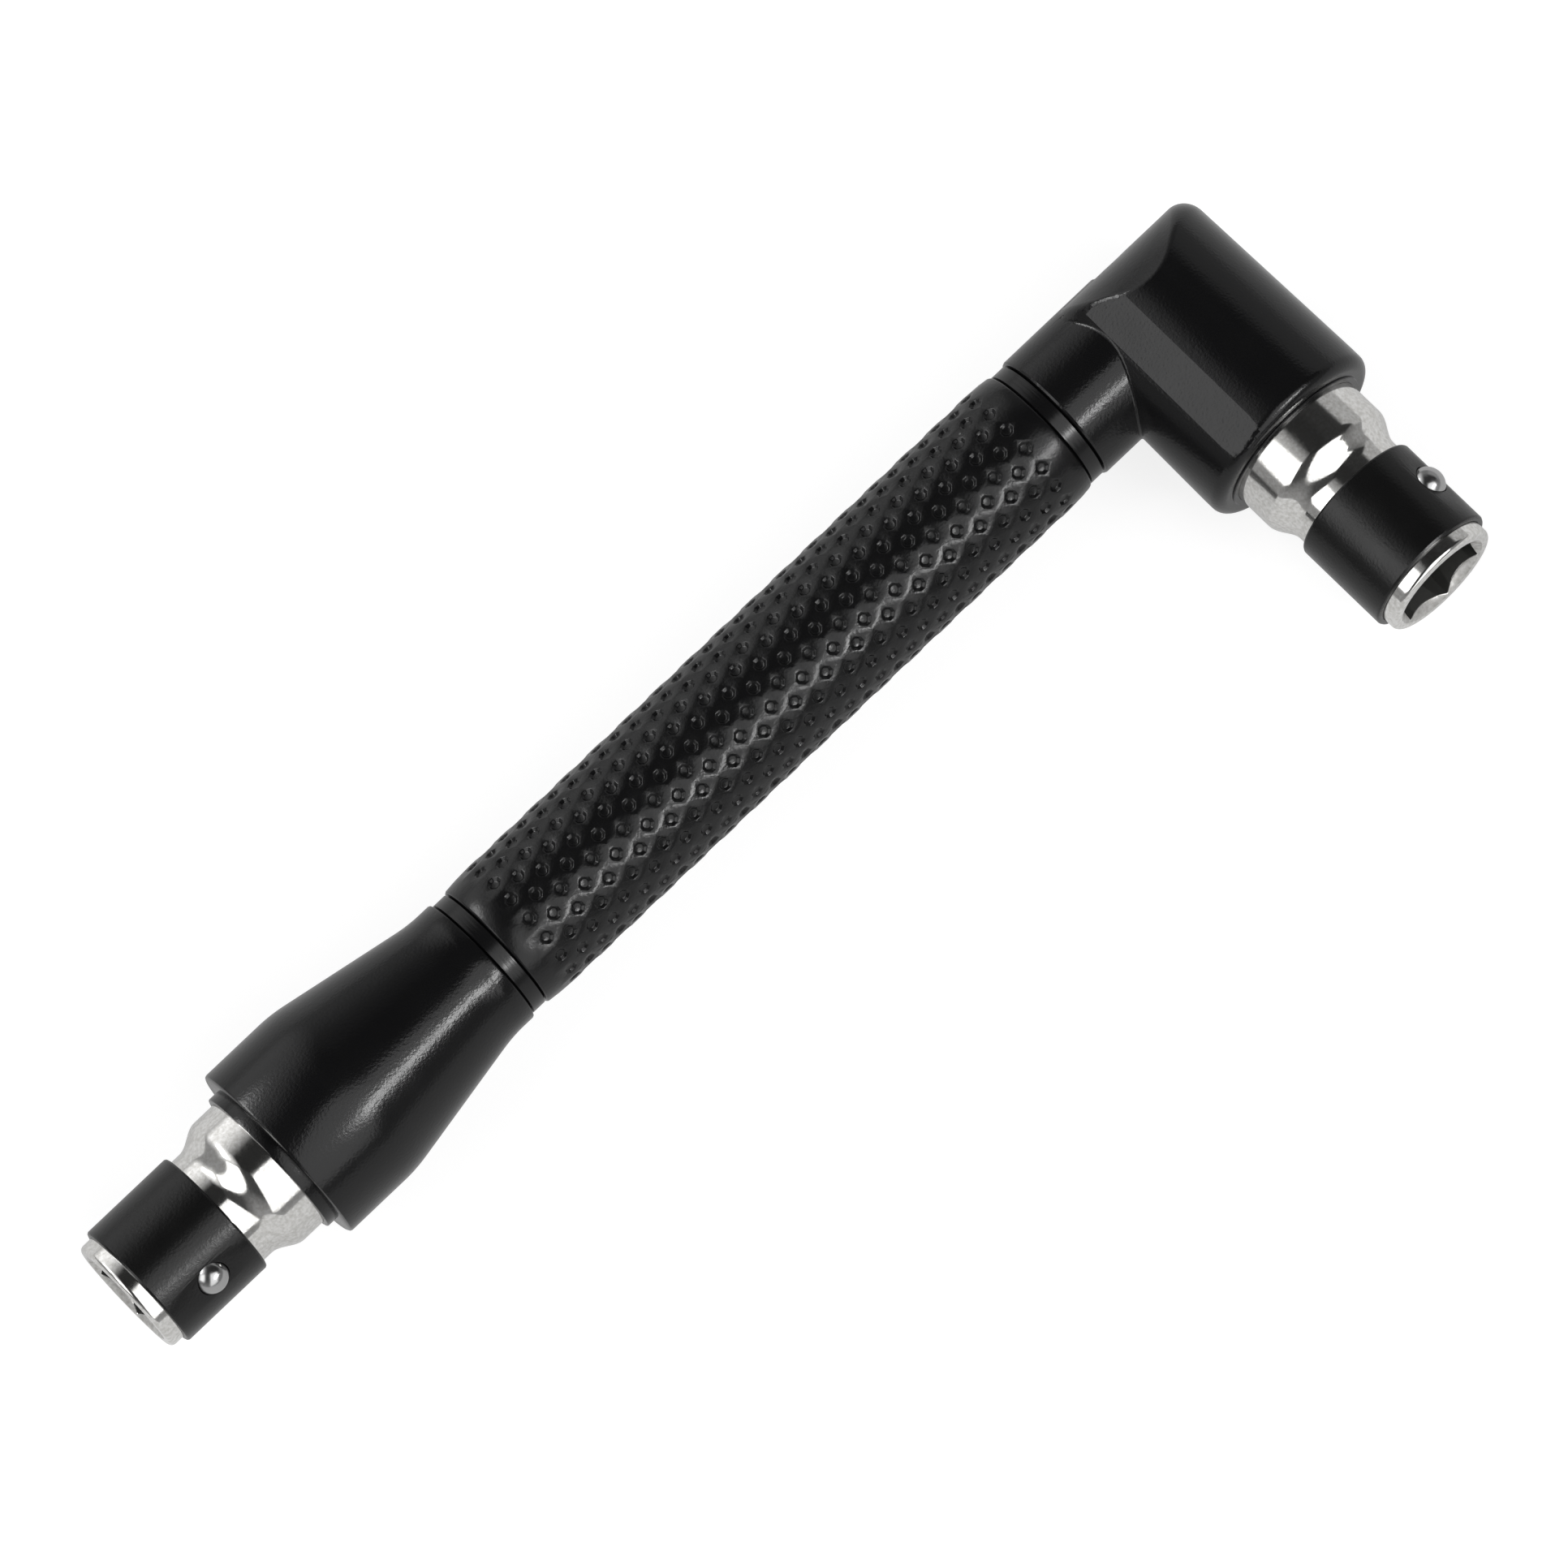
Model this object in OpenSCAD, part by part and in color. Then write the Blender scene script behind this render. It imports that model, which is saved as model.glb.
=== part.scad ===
// Offset screwdriver: an L-shaped handle with a quarter-inch hex bit socket at each end.
// Millimetres. The handle lies along X with its elbow at +X, the elbow socket points to -Y,
// and the tool rests on Z = 0.

/* [Handle] */
// Largest diameter of the elbow barrel and of the flared tail
end_d = 14.4; // [14:0.1:15.2]
// Diameter of the grip
grip_d = 10.5; // [10.3:0.1:11.1]
// Length of the grip
grip_len = 51.4; // [41:0.1:66]
// Diameter to which the grip is drawn down at its ends
grip_end_d = 10.2; // [10:0.05:10.3]
// Length of the plain margin at each end of the grip
grip_margin = 1.9; // [1.2:0.1:3.3]
// Diameter of the thin bands at the ends of the grip
band_d = 9.9; // [9.1:0.1:10.2]
// Width of each band
band_w = 1.3; // [0.8:0.05:2]
// Chamfer where two handle pieces meet, which leaves a fine groove
edge_break = 0.15; // [0.1:0.01:0.25]
// Diameter of the rod that ties the handle together
rod_d = 5; // [3.4:0.1:5.8]

/* [Elbow head] */
// Diameter of the collar that faces the grip
collar_d = 10.25; // [9.9:0.05:10.7]
// Distance from the barrel's axis to the step where the collar runs out in the roof
collar_root = 1.9; // [0.8:0.1:3.3]
// Distance from the barrel's axis to the collar's end
collar_reach = 10.5; // [9.5:0.05:13.2]
// Distance from the handle's axis to the barrel's front face
barrel_len = 12.85; // [11.6:0.05:16.5]
// Diameter of the barrel at its closed end
barrel_back_d = 13.8; // [13.2:0.1:14]
// Height of the arched closed end above the handle's axis
roof_h = 4.9; // [4.7:0.05:5.1]
// Radius of the arch over the closed end
roof_r = 7.8; // [7.6:0.1:9.1]
// Rounding of the closed end's corner
corner_r = 1.75; // [0.8:0.05:2]
// Rounding of the barrel's front edge
front_r = 0.85; // [0.7:0.05:1.3]
// Angle from +Z to each long facet of the barrel, towards the grip
facet_angle = 26.5; // [20:0.5:32]
// Depth of each facet at its middle
facet_depth = 0.14; // [0.08:0.01:0.25]

/* [Tail ferrule] */
// Diameter of the ferrule's slim end
throat_d = 10.35; // [10.1:0.05:10.8]
// Length of the slim end before the flare
throat_len = 2; // [1.3:0.1:3.3]
// Length of the flare
flare_len = 11; // [9.1:0.1:15]
// Length of the straight skirt behind the socket
skirt_len = 6.15; // [4.1:0.05:10]
// Radius that blends the flare into the parts on each side
flare_blend_r = 11.5; // [5:0.5:13]
// Chamfer of the skirt's outer edge
skirt_chamfer = 0.2; // [0.1:0.05:0.5]

/* [Bit sockets] */
// Width across the flats of the hex hole
hex_af = 6.4; // [6.36:0.02:6.5]
// Depth of the hex hole
hex_depth = 12.5; // [10:0.5:13.5]
// Diameter of the cone that opens the hex hole's mouth, a little more than the hole's corners
mouth_d = 7.6; // [7.55:0.05:7.8]
// Angle between the sides of that cone
mouth_angle = 90; // [60:5:100]
// Diameter of the socket's nose
nose_d = 9.1; // [9:0.05:9.2]
// Length of the nose in front of the spring sleeve
lip_len = 1.1; // [0.8:0.05:2]
// Rounding of the nose's front edge
lip_round = 0.5; // [0.25:0.05:0.6]
// Length of the nose that shows behind the spring sleeve
waist_len = 0.8; // [0.3:0.05:1.6]
// Length of the curve from the nose up to the shoulder
rise_len = 2.25; // [1.6:0.05:3.3]
// Length of the shoulder in front of the head's face
shoulder_len = 2.8; // [1.6:0.05:5]
// Diameter of the shoulder
shoulder_d = 10.85; // [10.4:0.05:11.1]
// Depth to which the shoulder is sunk in the head
shoulder_sink = 1; // [0.7:0.1:1.6]
// How much deeper the tail's socket is pressed in than the elbow's
tail_sink_more = 0.2; // [0:0.05:1]
// Diameter of the tang that is pressed into the head
tang_d = 8.3; // [6.6:0.1:8.6]
// Length of the tang
tang_len = 7; // [5:0.1:7.5]
// Outer diameter of the low rim round the shoulder
rim_d = 11.75; // [11.5:0.05:11.9]
// Height of the rim at the elbow
rim_h = 0.4; // [0.25:0.05:0.8]
// Height of the rim at the tail
tail_rim_h = 0.85; // [0.25:0.05:1]

/* [Ball detents] */
// Outer diameter of the spring sleeve
sleeve_d = 10; // [9.9:0.05:10.2]
// Length of the spring sleeve
sleeve_len = 7.4; // [6.6:0.1:9]
// Width of the slot that makes the sleeve springy
slot_w = 0.8; // [0.5:0.1:1.6]
// Diameter of the ball
ball_d = 2.6; // [2.56:0.02:2.7]
// How far the ball stands into the corner of the hex hole
ball_bite = 0.6; // [0.5:0.02:0.64]
// Distance from the back edge of the sleeve to the ball
ball_from_back = 3.5; // [2.5:0.05:4.5]
// Diameter of the round hole in the sleeve
ball_window_d = 2.44; // [2.36:0.02:2.5]
// Angle of the ball from +Z round each socket
ball_clock = 55; // [0:5:90]

/* [Hidden] */
$fn = 96;
// Short pieces that a rounding or a blend is drawn with
arc_steps = 6;
rise_steps = 10;
// Radial gap of the pressed and screwed seats, and the room round the ball
seat_gap = 0.02;
ball_gap = 0.05;
// How far a cut runs past what it cuts
overrun = 0.1;
// Chamfers of hidden ends and of the sleeve's edges
rod_chamfer = 0.4;
tang_chamfer = 0.4;
sleeve_chamfer = 0.18;
// How far the rod is screwed into the head and into the ferrule
rod_in_head = 7.8;
rod_in_tail = 8.2;
// Play between the end of a pressed or screwed piece and the bottom of its hole
end_play = 0.35;
// Pilot drill of the hex hole, and the drop of its conical bottom
pilot_d = 5.6;
pilot_drop = 1.25;

end_r = end_d / 2;
grip_r = grip_d / 2;
grip_end_r = grip_end_d / 2;
band_r = band_d / 2;
rod_r = rod_d / 2;
collar_r = collar_d / 2;
barrel_back_r = barrel_back_d / 2;
throat_r = throat_d / 2;
nose_r = nose_d / 2;
shoulder_r = shoulder_d / 2;
tang_r = tang_d / 2;
rim_r = rim_d / 2;
sleeve_r = sleeve_d / 2;
ball_r = ball_d / 2;
mouth_r = mouth_d / 2;
pilot_r = pilot_d / 2;

// Stations along the handle, from the barrel's axis towards the tail
band_x = -collar_reach;
grip_x = band_x - band_w;
tail_band_x = grip_x - grip_len;
ferrule_x = tail_band_x - band_w;
ferrule_len = throat_len + flare_len + skirt_len;
tail_face_x = ferrule_x - ferrule_len;
rod_x = band_x + rod_in_head;
rod_len = rod_in_head + 2 * band_w + grip_len + rod_in_tail;

// Stations along a socket, from the head's face to the nose
rise_z = shoulder_len;
waist_z = rise_z + rise_len;
sleeve_z = waist_z + waist_len;
socket_reach = sleeve_z + sleeve_len + lip_len;
ball_z = sleeve_z + ball_from_back;

// The hex hole's corner, the depth of its mouth's cone and the ball that stands into it
hex_corner_r = hex_af / 2 / cos(30);
mouth_drop = mouth_r / tan(mouth_angle / 2);
ball_rest_r = hex_corner_r - ball_bite + ball_r;
ball_hole_r = ball_r + ball_gap;
ball_seat_drop = (ball_r + seat_gap) * sqrt(2);

// The barrel widens from its closed end to a straight land behind the front rounding
roof_top = roof_h + overrun;
land_z = barrel_len - 2 * front_r;
draft_angle = atan((end_r - barrel_back_r) / (land_z + roof_top));
roof_axis_y = roof_h - roof_r;

// The tool is centred over the origin and stands on Z = 0
x_low = tail_face_x + tail_sink_more - socket_reach;
y_low = -barrel_len - socket_reach;
frame_shift = [-(x_low + end_r) / 2, -(y_low + end_r) / 2, end_r];

// Points of a rounding of radius r at corner b, between the directions to a and to c
function fillet(a, b, c, r) =
    let (to_a = (a - b) / norm(a - b))
    let (to_c = (c - b) / norm(c - b))
    let (corner = acos(to_a * to_c))
    let (start = b + to_a * r / tan(corner / 2))
    let (middle = b + (to_a + to_c) / norm(to_a + to_c) * r / sin(corner / 2))
    let (spoke = start - middle)
    let (turn = sign(to_c[0] * to_a[1] - to_c[1] * to_a[0]) * (180 - corner))
    [for (i = [0 : arc_steps])
        let (angle = turn * i / arc_steps)
        middle + [spoke[0] * cos(angle) - spoke[1] * sin(angle),
                  spoke[0] * sin(angle) + spoke[1] * cos(angle)]];

// Places what is drawn along +Z on the handle's axis, running from station x towards the tail
module on_handle(x) translate(frame_shift) translate([x, 0, 0]) rotate([0, -90, 0]) children();

// Places a socket's parts, drawn along +Z with the ball towards +X, on each head
module on_elbow() translate(frame_shift) translate([0, -barrel_len, 0]) rotate([90, 0, 0])
    rotate([0, 0, 90 - ball_clock]) children();
module on_tail() translate(frame_shift) translate([tail_face_x + tail_sink_more, 0, 0]) rotate([0, -90, 0])
    rotate([0, 0, -ball_clock]) children();

// Places what is drawn along +X at the height and distance of the ball
module at_ball() translate([ball_rest_r, 0, ball_z]) children();

// The hole that takes a socket: a bore for the tang and a seat for the shoulder, sunk to a depth
// below the face and open through a rim of a height
module socket_hole(sink, rim) {
    bore_len = sink + tang_len + end_play;
    translate([0, 0, -bore_len]) cylinder(r = tang_r + seat_gap, h = bore_len + rim);
    translate([0, 0, -sink]) cylinder(r = shoulder_r + seat_gap, h = sink + rim + overrun);
}

// The hole that takes one end of the rod
module rod_hole(depth) translate([0, 0, -overrun])
    cylinder(r = rod_r + seat_gap, h = depth + end_play + overrun);

// The barrel before it is arched and faceted, closed end towards +Y
module barrel_blank() rotate([90, 0, 0]) rotate_extrude() polygon(concat(
    [[0, -roof_top]],
    fillet([0, -roof_top], [barrel_back_r, -roof_top], [end_r, land_z], corner_r),
    [[end_r, land_z]],
    fillet([end_r, land_z], [end_r, barrel_len], [rim_r, barrel_len], front_r),
    [[rim_r, barrel_len], [rim_r, barrel_len + rim_h], [0, barrel_len + rim_h]]));

// What the arch takes off the closed end
module roof_waste() {
    half_w = end_r + overrun;
    difference() {
        translate([-half_w, roof_axis_y, -half_w])
            cube([2 * half_w, roof_r + 2 * overrun, 2 * half_w]);
        translate([0, roof_axis_y, 0]) rotate([0, 90, 0])
            cylinder(r = roof_r, h = 2 * (half_w + overrun), center = true);
    }
}

// What one long facet takes off the barrel, in line with its draft
module facet_waste() {
    front = barrel_len - land_z + overrun;
    length = front + land_z + roof_h + overrun;
    rotate([0, -facet_angle, 0]) translate([0, -land_z, end_r - facet_depth])
        rotate([-draft_angle, 0, 0]) translate([-end_r / 2, -front, 0]) cube([end_r, length, end_r]);
}

// The cast head: arched barrel with a facet above and below, and the collar on the handle
module elbow_head() color("#1c1c1d") translate(frame_shift) difference() {
    union() {
        difference() {
            barrel_blank();
            roof_waste();
            facet_waste();
            mirror([0, 0, 1]) facet_waste();
        }
        rotate([0, -90, 0]) rotate_extrude() polygon([
            [0, collar_root], [collar_r, collar_root], [collar_r, collar_reach - edge_break],
            [collar_r - edge_break, collar_reach], [0, collar_reach]]);
    }
    translate([0, -barrel_len, 0]) rotate([90, 0, 0]) socket_hole(shoulder_sink, rim_h);
    translate([band_x, 0, 0]) rotate([0, 90, 0]) rod_hole(rod_in_head);
}

// A ring on the rod, chamfered so that a fine groove shows on each side
module band() color("#18181a") difference() {
    rotate_extrude() polygon([
        [0, 0], [band_r - edge_break, 0], [band_r, edge_break],
        [band_r, band_w - edge_break], [band_r - edge_break, band_w], [0, band_w]]);
    rod_hole(band_w);
}
module elbow_band() on_handle(band_x) band();
module tail_band() on_handle(tail_band_x) band();

// The grip tube, drawn down towards the bands
module grip_sleeve() on_handle(grip_x) color("#1a1a1b") difference() {
    rotate_extrude() polygon([
        [0, 0], [grip_end_r - edge_break, 0], [grip_end_r, edge_break], [grip_r, grip_margin],
        [grip_r, grip_len - grip_margin], [grip_end_r, grip_len - edge_break],
        [grip_end_r - edge_break, grip_len], [0, grip_len]]);
    rod_hole(grip_len);
}

// The flared end piece, with the rod's hole at its slim end and the socket's at the other
module tail_ferrule() {
    flare_end = throat_len + flare_len;
    outline = concat(
        [[0, 0], [throat_r - edge_break, 0], [throat_r, edge_break]],
        fillet([throat_r, edge_break], [throat_r, throat_len], [end_r, flare_end], flare_blend_r),
        fillet([throat_r, throat_len], [end_r, flare_end], [end_r, ferrule_len], flare_blend_r),
        [[end_r, ferrule_len - skirt_chamfer], [end_r - skirt_chamfer, ferrule_len],
         [rim_r, ferrule_len], [rim_r, ferrule_len + tail_rim_h], [0, ferrule_len + tail_rim_h]]);
    on_handle(ferrule_x) color("#1c1c1d") difference() {
        rotate_extrude() polygon(outline);
        rod_hole(rod_in_tail);
        translate([0, 0, ferrule_len]) socket_hole(shoulder_sink + tail_sink_more, tail_rim_h);
    }
}

// The hidden rod that ties head, bands, grip and ferrule together
module core_rod() on_handle(rod_x) color("silver") rotate_extrude() polygon([
    [0, 0], [rod_r - rod_chamfer, 0], [rod_r, rod_chamfer],
    [rod_r, rod_len - rod_chamfer], [rod_r - rod_chamfer, rod_len], [0, rod_len]]);

// A chromed bit socket: tang, sunk shoulder, curved rise and plain nose, with a cone-mouthed hex
// hole and a radial hole in which the ball sits on a conical seat
module socket() {
    tang_end = -shoulder_sink - tang_len;
    hex_z = socket_reach - hex_depth;
    rise = [for (i = [0 : rise_steps])
        let (along_share = i / rise_steps)
        [nose_r + (shoulder_r - nose_r) * (1 + cos(180 * along_share)) / 2,
         rise_z + rise_len * along_share]];
    outline = concat(
        [[0, tang_end], [tang_r - tang_chamfer, tang_end], [tang_r, tang_end + tang_chamfer],
         [tang_r, -shoulder_sink], [shoulder_r, -shoulder_sink]],
        rise,
        fillet([nose_r, waist_z], [nose_r, socket_reach], [0, socket_reach], lip_round),
        [[0, socket_reach]]);
    color("silver") difference() {
        rotate_extrude() polygon(outline);
        translate([0, 0, hex_z]) linear_extrude(height = hex_depth + overrun)
            circle(r = hex_corner_r, $fn = 6);
        translate([0, 0, hex_z - pilot_drop]) cylinder(r1 = 0, r2 = pilot_r, h = pilot_drop + overrun);
        translate([0, 0, socket_reach - mouth_drop])
            cylinder(r1 = 0, r2 = mouth_r * (1 + overrun / mouth_drop), h = mouth_drop + overrun);
        at_ball() rotate([0, 90, 0]) {
            translate([0, 0, ball_hole_r - ball_seat_drop]) cylinder(r = ball_hole_r, h = nose_r);
            translate([0, 0, -ball_seat_drop]) cylinder(r1 = 0, r2 = ball_hole_r, h = ball_hole_r);
        }
    }
}
module elbow_socket() on_elbow() socket();
module tail_socket() on_tail() socket();

// The split sleeve that springs over the nose and presses the ball in
module spring_sleeve() color("#171718") translate([0, 0, sleeve_z]) difference() {
    rotate_extrude() polygon([
        [nose_r + seat_gap, 0], [sleeve_r - sleeve_chamfer, 0], [sleeve_r, sleeve_chamfer],
        [sleeve_r, sleeve_len - sleeve_chamfer], [sleeve_r - sleeve_chamfer, sleeve_len],
        [nose_r + seat_gap, sleeve_len]]);
    translate([0, 0, -sleeve_z]) at_ball() {
        sphere(r = ball_r + seat_gap);
        rotate([0, 90, 0]) cylinder(d = ball_window_d, h = nose_r);
    }
    translate([-sleeve_d, -slot_w / 2, -overrun]) cube([sleeve_d, slot_w, sleeve_len + 2 * overrun]);
}
module elbow_spring_sleeve() on_elbow() spring_sleeve();
module tail_spring_sleeve() on_tail() spring_sleeve();

// The detent ball at rest on its seat
module ball() color("silver") at_ball() sphere(d = ball_d);
module elbow_ball() on_elbow() ball();
module tail_ball() on_tail() ball();

elbow_head();
elbow_band();
grip_sleeve();
tail_band();
tail_ferrule();
core_rod();
elbow_socket();
elbow_spring_sleeve();
elbow_ball();
tail_socket();
tail_spring_sleeve();
tail_ball();
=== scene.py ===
import math

import bpy
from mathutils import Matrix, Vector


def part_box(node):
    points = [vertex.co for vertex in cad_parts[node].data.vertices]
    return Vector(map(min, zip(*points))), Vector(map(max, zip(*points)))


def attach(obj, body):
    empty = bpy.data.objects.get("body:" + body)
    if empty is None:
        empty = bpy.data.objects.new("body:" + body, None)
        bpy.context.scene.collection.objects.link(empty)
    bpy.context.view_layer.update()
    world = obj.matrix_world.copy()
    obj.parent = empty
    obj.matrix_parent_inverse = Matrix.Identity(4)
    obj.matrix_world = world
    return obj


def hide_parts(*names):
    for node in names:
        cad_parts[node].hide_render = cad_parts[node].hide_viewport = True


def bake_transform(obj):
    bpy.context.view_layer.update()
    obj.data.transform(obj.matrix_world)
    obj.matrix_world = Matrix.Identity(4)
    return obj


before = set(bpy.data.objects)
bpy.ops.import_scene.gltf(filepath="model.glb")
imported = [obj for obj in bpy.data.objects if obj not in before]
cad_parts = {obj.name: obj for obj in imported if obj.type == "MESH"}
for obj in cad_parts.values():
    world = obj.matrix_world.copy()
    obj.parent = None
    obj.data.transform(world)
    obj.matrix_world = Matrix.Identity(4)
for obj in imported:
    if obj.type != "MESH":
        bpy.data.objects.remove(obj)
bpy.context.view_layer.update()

# Core rod
# A turned steel rod, screwed into the elbow head and into the ferrule, that ties the handle together.
# The grip and the bands cover it, so its solid stays and gets a finish of fine turning marks.


def start_finish(name, colour, roughness, metallic):
    """A material on object coordinates, with its node tree, its shader and the coordinates' socket."""
    material = bpy.data.materials.new(name)
    material.use_nodes = True
    tree = material.node_tree
    shader = tree.nodes["Principled BSDF"]
    shader.inputs["Base Color"].default_value = (*colour, 1)
    shader.inputs["Roughness"].default_value = roughness
    shader.inputs["Metallic"].default_value = metallic
    place = tree.nodes.new("ShaderNodeTexCoord").outputs["Object"]
    return material, tree, shader, place


def add_noise(tree, place, scale, detail, stretch=(1, 1, 1)):
    """A noise pattern, scale in features per metre, drawn out along an axis by a small stretch value."""
    mapping = tree.nodes.new("ShaderNodeMapping")
    mapping.inputs["Scale"].default_value = stretch
    tree.links.new(place, mapping.inputs["Vector"])
    noise = tree.nodes.new("ShaderNodeTexNoise")
    noise.inputs["Scale"].default_value = scale
    noise.inputs["Detail"].default_value = detail
    tree.links.new(mapping.outputs["Vector"], noise.inputs["Vector"])
    return noise.outputs["Fac"]


def spread(tree, value, low, high, start=0.3, end=0.7):
    """Carries a pattern's middle range to the range low to high."""
    ranged = tree.nodes.new("ShaderNodeMapRange")
    ranged.inputs["From Min"].default_value = start
    ranged.inputs["From Max"].default_value = end
    ranged.inputs["To Min"].default_value = low
    ranged.inputs["To Max"].default_value = high
    tree.links.new(value, ranged.inputs["Value"])
    return ranged.outputs["Result"]


def add_bump(tree, shader, height, depth):
    """Raises the surface by a pattern, depth in metres."""
    bump = tree.nodes.new("ShaderNodeBump")
    bump.inputs["Strength"].default_value = 1
    bump.inputs["Distance"].default_value = depth
    tree.links.new(height, bump.inputs["Height"])
    tree.links.new(bump.outputs["Normal"], shader.inputs["Normal"])


def blend_colours(tree, shader, share, first, second):
    """Colours the surface between two colours by a pattern."""
    mix = tree.nodes.new("ShaderNodeMix")
    mix.data_type = "RGBA"
    tree.links.new(share, mix.inputs["Factor"])
    mix.inputs[6].default_value = (*first, 1)
    mix.inputs[7].default_value = (*second, 1)
    tree.links.new(mix.outputs[2], shader.inputs["Base Color"])


turned_steel, tree, shader, place = start_finish("turned_steel", (0.55, 0.55, 0.56), 0.35, 1)
turning = add_noise(tree, place, 900, 3, (6, 0.02, 0.02))
tree.links.new(spread(tree, turning, 0.25, 0.45), shader.inputs["Roughness"])
add_bump(tree, shader, turning, 0.00001)
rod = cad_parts["core_rod"]
rod.data.materials.clear()
rod.data.materials.append(turned_steel)

# Bands
# Two thin turned rings, one at each end of the grip, painted satin black like the handle.
# They are threaded on the rod and clamped; their broken edges leave a fine groove on each side.

mm = 0.001
handle_y, axis_z, barrel_x = 10.0, 7.2, 45.3
weld_gap, sliver, overrun = 0.001, 0.01, 1
rod_hole_r = 2.52
band_w, band_r, band_sides = 1.3, 4.95, 96
band_edge = [(0, 0.28), (0.08, 0.16), (0.15, 0)]
elbow_band_x, tail_band_x = 34.8, -17.9
paint_black, dust_grey = (0.005, 0.005, 0.0053), (0.25, 0.25, 0.25)
clouds_per_m, specks_per_m, grains_per_m, grain_depth = 320, 520, 5000, 0.000013
paint_ior, speck_edge, lot_step = 1.4, (0.03, 0.07), 0.01


def turn_on_lathe(name, outline, sides, tube=False):
    """Turns (station, radius) pairs in mm about +Z, ring by ring. A tube ends where it starts."""
    bpy.ops.object.select_all(action="DESELECT")
    station, radius = outline[0]
    bpy.ops.mesh.primitive_circle_add(vertices=sides, radius=radius * mm, enter_editmode=True,
                                      fill_type="NOTHING" if tube else "NGON", location=(0, 0, 0))
    bpy.ops.transform.translate(value=(0, 0, station * mm))
    for next_station, next_radius in outline[1:] + (outline[:1] if tube else []):
        bpy.ops.mesh.extrude_region_move(
            TRANSFORM_OT_translate={"value": (0, 0, (next_station - station) * mm)})
        grow = next_radius / radius
        bpy.ops.transform.resize(value=(grow, grow, 1), center_override=(0, 0, next_station * mm))
        station, radius = next_station, next_radius
    bpy.ops.mesh.select_all(action="SELECT")
    bpy.ops.mesh.remove_doubles(threshold=weld_gap * mm)
    bpy.ops.mesh.normals_make_consistent(inside=False)
    bpy.ops.object.mode_set(mode="OBJECT")
    piece = bpy.context.active_object
    piece.name = piece.data.name = name
    return piece


def ring_outline(length, hole_r, outer_r, edge):
    """The outline of a ring with a hole, both its edges broken by (step along, step in) pairs."""
    start = [(step, outer_r - inwards) for step, inwards in edge]
    end = [(length - step, outer_r - inwards) for step, inwards in reversed(edge)]
    return [(0, hole_r)] + start + end + [(length, hole_r)]


def pick(piece):
    """Makes a piece the only one that is selected."""
    bpy.ops.object.select_all(action="DESELECT")
    piece.select_set(True)
    bpy.context.view_layer.objects.active = piece


def set_down(piece, turn, place):
    """Turns a piece by degrees, moves it to a place in mm and leaves both in its mesh."""
    pick(piece)
    piece.rotation_euler = [math.radians(angle) for angle in turn]
    piece.location = [value * mm for value in place]
    bpy.ops.object.transform_apply(location=True, rotation=True, scale=True)


def smooth(piece, angle):
    """Shades a piece smooth, apart from edges sharper than an angle or marked sharp."""
    pick(piece)
    bpy.ops.object.shade_smooth_by_angle(angle=math.radians(angle), keep_sharp_edges=True)


def hand_over(piece, node, body, slot, *materials):
    """Gives a piece its finish, and puts it in its node's place on the body that carries it."""
    piece.data.materials.clear()
    for material in materials:
        piece.data.materials.append(material)
    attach(piece, body)
    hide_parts(node)


def black_finish(name, colour, dust, gloss, grain=(1, 1, 1)):
    """Satin black: uneven gloss between two roughness values, a fine grain and a few specks of dust."""
    material, tree, shader, place = start_finish(name, colour, gloss[0], 0)
    shader.inputs["IOR"].default_value = paint_ior
    cloud = add_noise(tree, place, clouds_per_m, 4)
    tree.links.new(spread(tree, cloud, *gloss), shader.inputs["Roughness"])
    cells = tree.nodes.new("ShaderNodeTexVoronoi")
    cells.inputs["Scale"].default_value = specks_per_m
    tree.links.new(place, cells.inputs["Vector"])
    speck = spread(tree, cells.outputs["Distance"], 1, 0, *speck_edge)
    lot = tree.nodes.new("ShaderNodeSeparateColor")
    tree.links.new(cells.outputs["Color"], lot.inputs["Color"])
    kept = spread(tree, lot.outputs["Red"], 0, 1, 1 - dust, 1 - dust + lot_step)
    seen = tree.nodes.new("ShaderNodeMath")
    seen.operation = "MULTIPLY"
    tree.links.new(speck, seen.inputs[0])
    tree.links.new(kept, seen.inputs[1])
    blend_colours(tree, shader, seen.outputs["Value"], colour, dust_grey)
    add_bump(tree, shader, add_noise(tree, place, grains_per_m, 2, grain), grain_depth)
    return material


band_paint = black_finish("band_paint", paint_black, 0.02, (0.17, 0.24), grain=(1.2, 0.06, 0.06))
band_outline = ring_outline(band_w, rod_hole_r, band_r, band_edge)
for name, node, band_x in (("elbow_ring", "elbow_band", elbow_band_x),
                           ("tail_ring", "tail_band", tail_band_x)):
    ring = turn_on_lathe(name, band_outline, band_sides, tube=True)
    set_down(ring, (0, -90, 0), (band_x, handle_y, axis_z))
    smooth(ring, 40)
    hand_over(ring, node, "handle", "black_band", band_paint)

# Grip
# A steel tube pressed with a staggered lattice of dished pits and painted satin black.
# It is slid over the rod between the two bands and drawn down a little at its ends.

grip_x, grip_len, grip_r, drawn_r = 33.5, 51.4, 5.25, 5.19
grip_edge = [(0, 4.95), (0.05, 5.05), (0.15, 5.1)]
columns, row_step, first_row, rows = 36, 1.455, 2.346, 33
lattice_turn, lattice_slack, skin_depth = 3, 0.1, 0.3
pit_r, pit_corner, pit_wall, pit_depth, pit_rim, crown_share = 0.66, 0.26, 0.18, 0.2, 0.05, 0.99

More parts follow.
